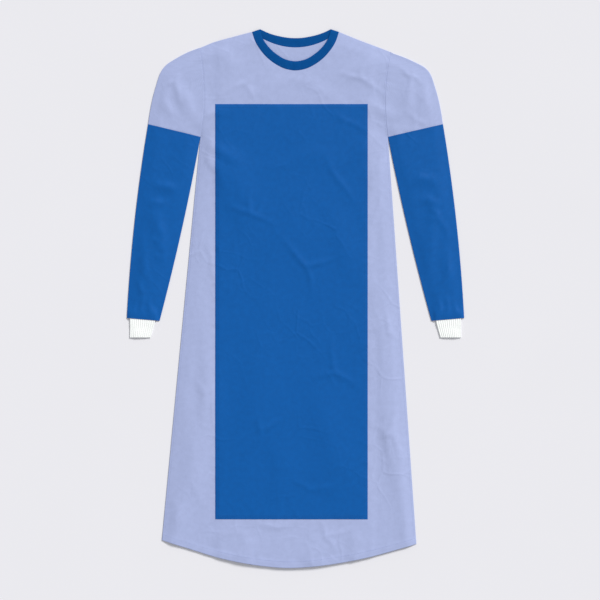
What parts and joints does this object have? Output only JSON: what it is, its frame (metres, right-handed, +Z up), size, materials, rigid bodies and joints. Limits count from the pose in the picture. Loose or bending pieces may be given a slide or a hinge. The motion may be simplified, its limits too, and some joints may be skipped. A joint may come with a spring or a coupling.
{
  "type": "surgical gown",
  "caption": "Reinforced surgical gown laid flat, with long sleeves, knitted cuffs, a bound round neck and a barrier panel on the front.",
  "frame": {"origin": "on the surface the gown lies on, under the middle of its outline", "axes": "+Y from hem to neck, +X towards the wearer's left, +Z up out of the front"},
  "size_m": [0.796, 1.2698, 0.0049],
  "materials": {
    "lavender_nonwoven": "matt spunbond nonwoven with small bond points",
    "blue_barrier": "smooth laminated nonwoven with a soft sheen",
    "blue_binding": "folded binding tape, matt",
    "white_knit": "ribbed stretch knit",
    "white_hook_tape": "hook-and-loop tape"
  },
  "bodies": {
    "root": {"front_body": "lavender_nonwoven", "back_left": "lavender_nonwoven", "back_right": "lavender_nonwoven", "sleeve_upper_left": "lavender_nonwoven", "sleeve_upper_right": "lavender_nonwoven", "sleeve_lower_left": "blue_barrier", "sleeve_lower_right": "blue_barrier", "cuff_left": "white_knit", "cuff_right": "white_knit", "front_panel": "blue_barrier", "neck_binding_front": "blue_binding", "neck_binding_back_left": "blue_binding", "neck_binding_back_right": "blue_binding", "neck_tab": "white_hook_tape", "tie_inner": "lavender_nonwoven", "tie_outer": "lavender_nonwoven"}
  },
  "joints": []
}
